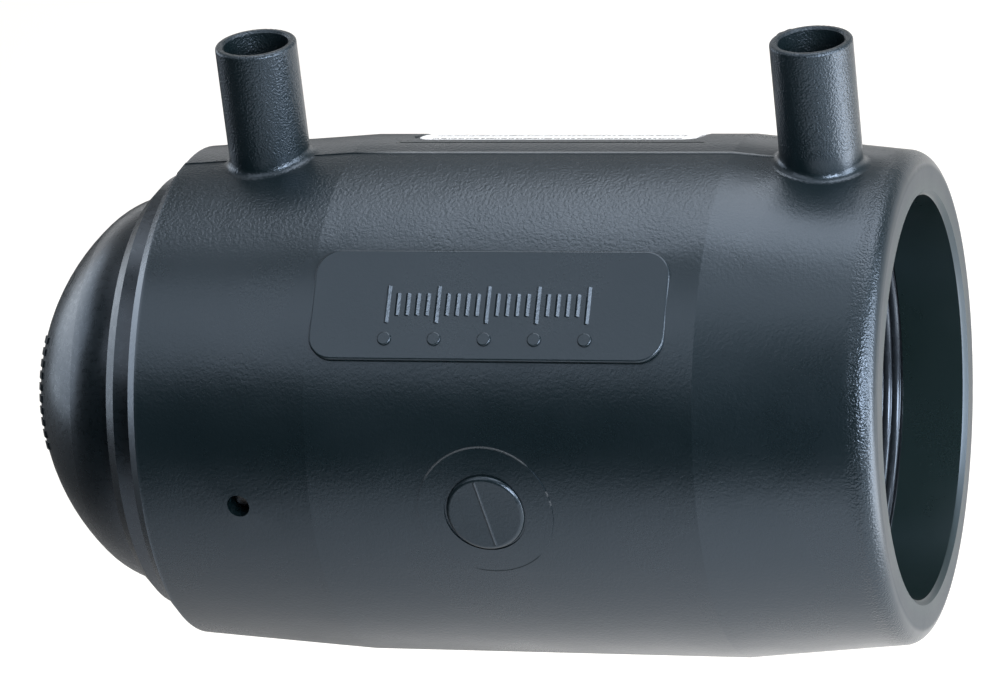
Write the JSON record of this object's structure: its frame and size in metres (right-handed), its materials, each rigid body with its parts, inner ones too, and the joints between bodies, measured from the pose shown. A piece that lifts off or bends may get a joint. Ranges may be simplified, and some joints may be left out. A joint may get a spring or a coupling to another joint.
{
  "type": "electrofusion end cap",
  "caption": "Black polyethylene electrofusion end cap: a tapered barrel with a heated pipe socket and two terminal shrouds, closed by a domed spigot plug.",
  "frame": {"origin": "centre of the open socket mouth's face, on the bore axis", "axes": "+X out of the mouth along the bore, +Z along the two terminal shrouds, -Y towards the front with the marking pad and gate mark"},
  "size_m": [0.1459, 0.0836, 0.1019],
  "materials": {
    "body_plastic": "fine moulded grain, satin",
    "cap_plastic": "smooth moulded, semi-gloss",
    "coil_coating": "smooth coated wire, semi-gloss",
    "terminal_metal": "tin plated, bright",
    "indicator_plastic": "smooth moulded, semi-gloss",
    "label_film": "white film, low gloss"
  },
  "bodies": {
    "root": {"coupler_body": "body_plastic", "spigot_cap": "cap_plastic", "heating_coil": "coil_coating", "terminal_pin_mouth_side": "terminal_metal", "terminal_pin_cap_side": "terminal_metal", "fusion_indicator_cap_side": "indicator_plastic", "fusion_indicator_mouth_side": "indicator_plastic", "label": "label_film"}
  },
  "joints": []
}
